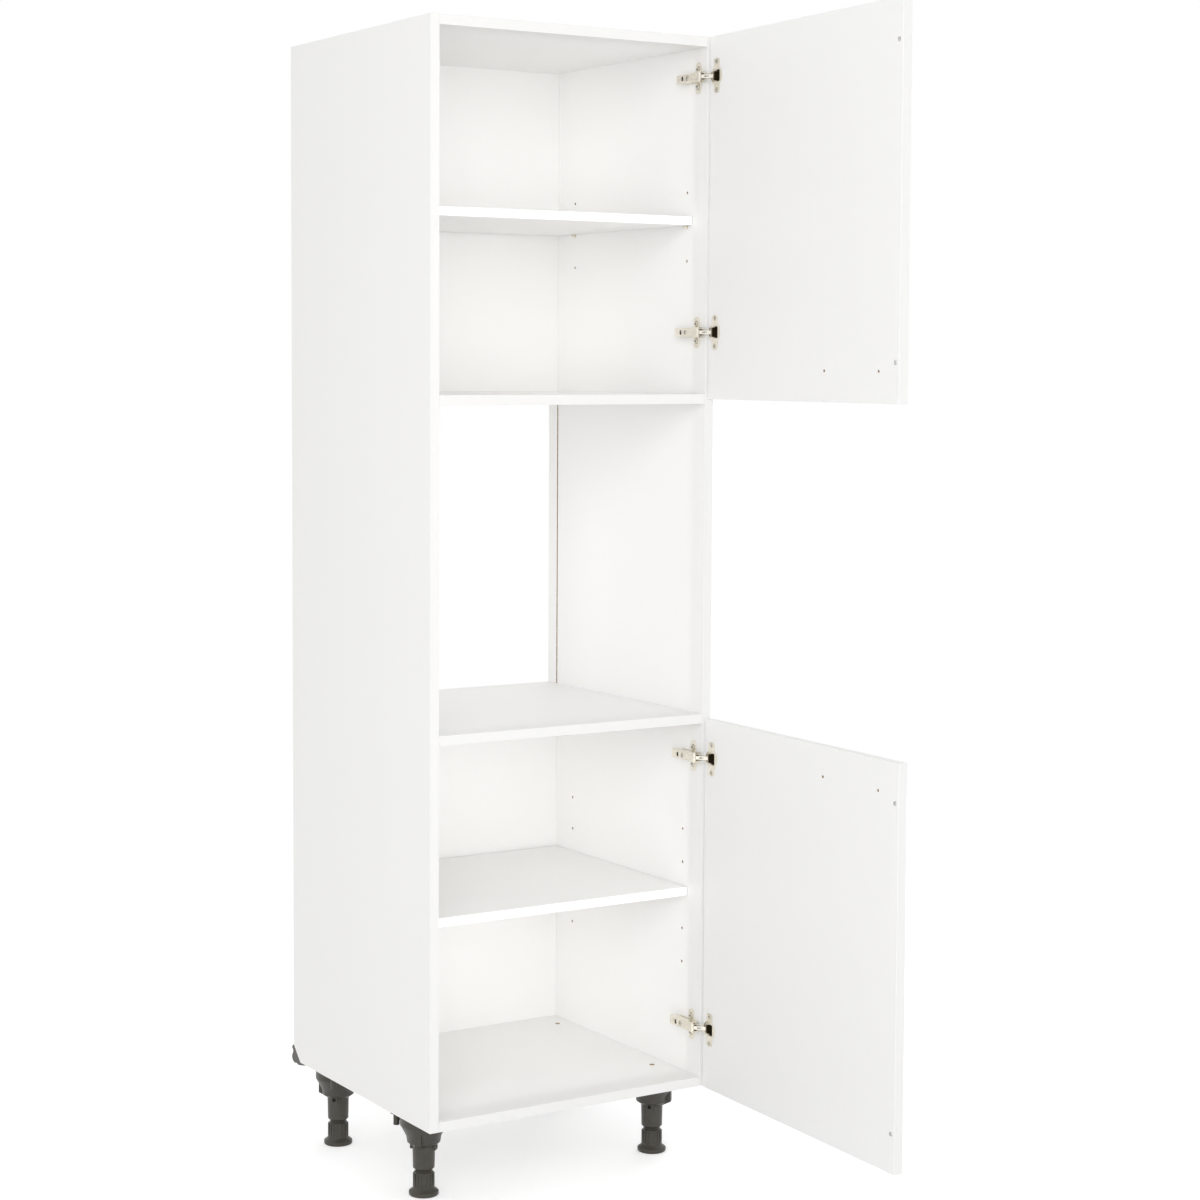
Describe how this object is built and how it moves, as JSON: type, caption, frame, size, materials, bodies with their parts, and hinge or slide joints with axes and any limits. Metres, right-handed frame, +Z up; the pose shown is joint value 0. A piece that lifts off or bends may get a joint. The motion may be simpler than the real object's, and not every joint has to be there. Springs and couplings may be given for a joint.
{
  "type": "tall oven housing unit",
  "caption": "Tall white kitchen unit with an open niche for a built-in oven between an upper and a lower cupboard, both with hinged doors and a loose shelf, on height-adjustable legs.",
  "frame": {"origin": "on the floor, under the middle of the box round the unit as it stands with its doors open", "axes": "+X to the right side, where both doors are hung; +Y to the wall behind; +Z up"},
  "size_m": [0.6032, 1.1702, 2.12],
  "materials": {
    "white_board": "white melamine on chipboard, satin",
    "white_door": "smooth white, satin",
    "white_hardboard": "white faced hardboard, satin",
    "nickel": "nickel plated, bright",
    "dark_plastic": "dark grey, slightly glossy",
    "clear_plastic": "clear, soft"
  },
  "bodies": {
    "carcass": {"back_panel_lower": "white_hardboard", "back_panel_upper": "white_hardboard", "base_panel": "white_board", "corner_shoe_left": "dark_plastic", "corner_shoe_right": "dark_plastic", "hinge_lower_bottom_arm": "nickel", "hinge_lower_bottom_plate": "nickel", "hinge_lower_top_arm": "nickel", "hinge_lower_top_plate": "nickel", "hinge_upper_bottom_arm": "nickel", "hinge_upper_bottom_plate": "nickel", "hinge_upper_top_arm": "nickel", "hinge_upper_top_plate": "nickel", "leg_socket_front_left": "dark_plastic", "leg_socket_front_right": "dark_plastic", "leg_socket_rear_left": "dark_plastic", "leg_socket_rear_right": "dark_plastic", "loose_shelf_lower": "white_board", "loose_shelf_upper": "white_board", "niche_top_panel": "white_board", "oven_shelf": "white_board", "shelf_pin_lower_front_left": "nickel", "shelf_pin_lower_front_right": "nickel", "shelf_pin_lower_rear_left": "nickel", "shelf_pin_lower_rear_right": "nickel", "shelf_pin_upper_front_left": "nickel", "shelf_pin_upper_front_right": "nickel", "shelf_pin_upper_rear_left": "nickel", "shelf_pin_upper_rear_right": "nickel", "side_panel_left": "white_board", "side_panel_right": "white_board", "top_panel": "white_board"},
    "upper_door": {"bumper_upper_bottom": "clear_plastic", "bumper_upper_top": "clear_plastic", "door_upper": "white_door", "hinge_upper_bottom_cup": "nickel", "hinge_upper_top_cup": "nickel"},
    "lower_door": {"bumper_lower_bottom": "clear_plastic", "bumper_lower_top": "clear_plastic", "door_lower": "white_door", "hinge_lower_bottom_cup": "nickel", "hinge_lower_top_cup": "nickel"},
    "lever_lower_bottom": {"hinge_lower_bottom_lever": "nickel"},
    "lever_lower_top": {"hinge_lower_top_lever": "nickel"},
    "lever_upper_bottom": {"hinge_upper_bottom_lever": "nickel"},
    "lever_upper_top": {"hinge_upper_top_lever": "nickel"},
    "foot_front_left": {"leg_foot_front_left": "dark_plastic"},
    "foot_front_right": {"leg_foot_front_right": "dark_plastic"},
    "foot_rear_left": {"leg_foot_rear_left": "dark_plastic"},
    "foot_rear_right": {"leg_foot_rear_right": "dark_plastic"}
  },
  "joints": [
    {"name": "upper_door_hinge", "type": "hinge", "parent": "carcass", "child": "upper_door", "pos_m": [0.29138, 0.00593, 1.786], "axis": [0, 0, 1], "range_deg": [-87, 23]},
    {"name": "lower_door_hinge", "type": "hinge", "parent": "carcass", "child": "lower_door", "pos_m": [0.29138, 0.00593, 0.501], "axis": [0, 0, 1], "range_deg": [-88, 22]},
    {"name": "upper_bottom_lever_hinge", "type": "hinge", "parent": "carcass", "child": "lever_upper_bottom", "pos_m": [0.26638, 0.01943, 1.576], "axis": [0, 0, 1], "range_deg": [-4, 14]},
    {"name": "upper_top_lever_hinge", "type": "hinge", "parent": "carcass", "child": "lever_upper_top", "pos_m": [0.26638, 0.01943, 2.047], "axis": [0, 0, 1], "range_deg": [-4, 14]},
    {"name": "lower_bottom_lever_hinge", "type": "hinge", "parent": "carcass", "child": "lever_lower_bottom", "pos_m": [0.26638, 0.01943, 0.264], "axis": [0, 0, 1], "range_deg": [-4, 14]},
    {"name": "lower_top_lever_hinge", "type": "hinge", "parent": "carcass", "child": "lever_lower_top", "pos_m": [0.26638, 0.01943, 0.779], "axis": [0, 0, 1], "range_deg": [-4, 14]},
    {"name": "front_left_foot_slide", "type": "slide", "parent": "carcass", "child": "foot_front_left", "axis": [0, 0, 1], "range_m": [-0.025, 0.002]},
    {"name": "front_right_foot_slide", "type": "slide", "parent": "carcass", "child": "foot_front_right", "axis": [0, 0, 1], "range_m": [-0.025, 0.002]},
    {"name": "rear_left_foot_slide", "type": "slide", "parent": "carcass", "child": "foot_rear_left", "axis": [0, 0, 1], "range_m": [-0.025, 0.002]},
    {"name": "rear_right_foot_slide", "type": "slide", "parent": "carcass", "child": "foot_rear_right", "axis": [0, 0, 1], "range_m": [-0.025, 0.002]}
  ],
  "couplings": [
    {"joint": "upper_bottom_lever_hinge", "follows": "upper_door_hinge", "ratio": -0.15},
    {"joint": "upper_top_lever_hinge", "follows": "upper_door_hinge", "ratio": -0.15},
    {"joint": "lower_bottom_lever_hinge", "follows": "lower_door_hinge", "ratio": -0.15},
    {"joint": "lower_top_lever_hinge", "follows": "lower_door_hinge", "ratio": -0.15}
  ]
}
